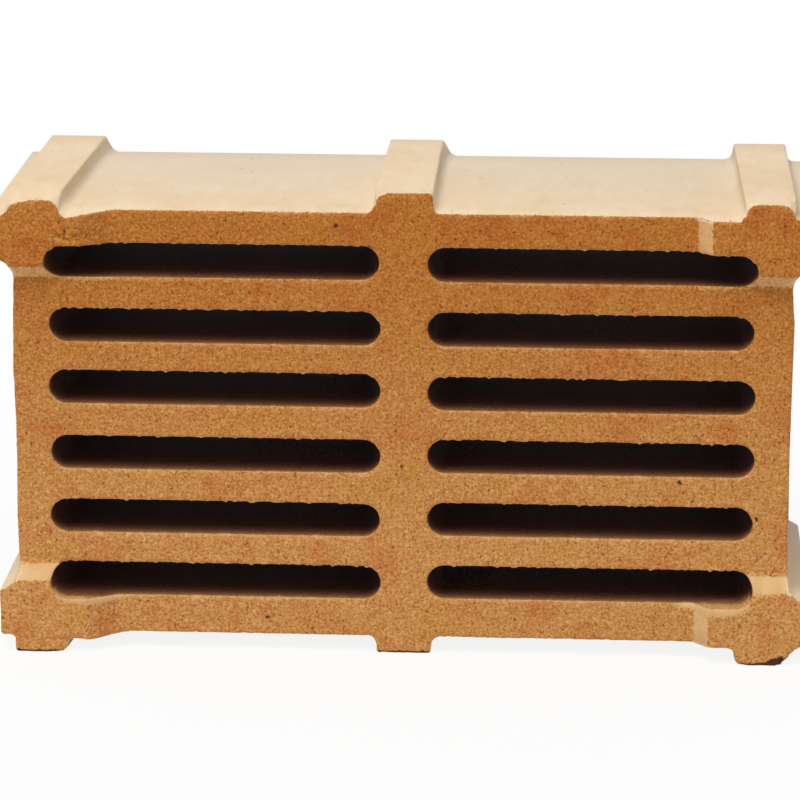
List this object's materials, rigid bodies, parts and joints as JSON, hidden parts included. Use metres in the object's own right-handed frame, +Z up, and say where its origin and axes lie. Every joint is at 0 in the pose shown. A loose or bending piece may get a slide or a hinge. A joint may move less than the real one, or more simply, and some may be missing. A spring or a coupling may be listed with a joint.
{
  "type": "checker brick",
  "caption": "Fired refractory checker brick with long round-ended slots, spacer ribs above and below, side lugs and raised corner bosses.",
  "frame": {"origin": "on the floor, under the middle of the brick's overall box", "axes": "+Z up as the brick stands on its lower ribs, +X along its long side, -Y the front with the corner bosses; the slots run along Y"},
  "size_m": [0.368, 0.12, 0.216],
  "materials": {
    "fired_clay": "fired clay with a coarse grain, smoother and paler on the moulded sides"
  },
  "bodies": {
    "root": {"checker_brick": "fired_clay"}
  },
  "joints": []
}
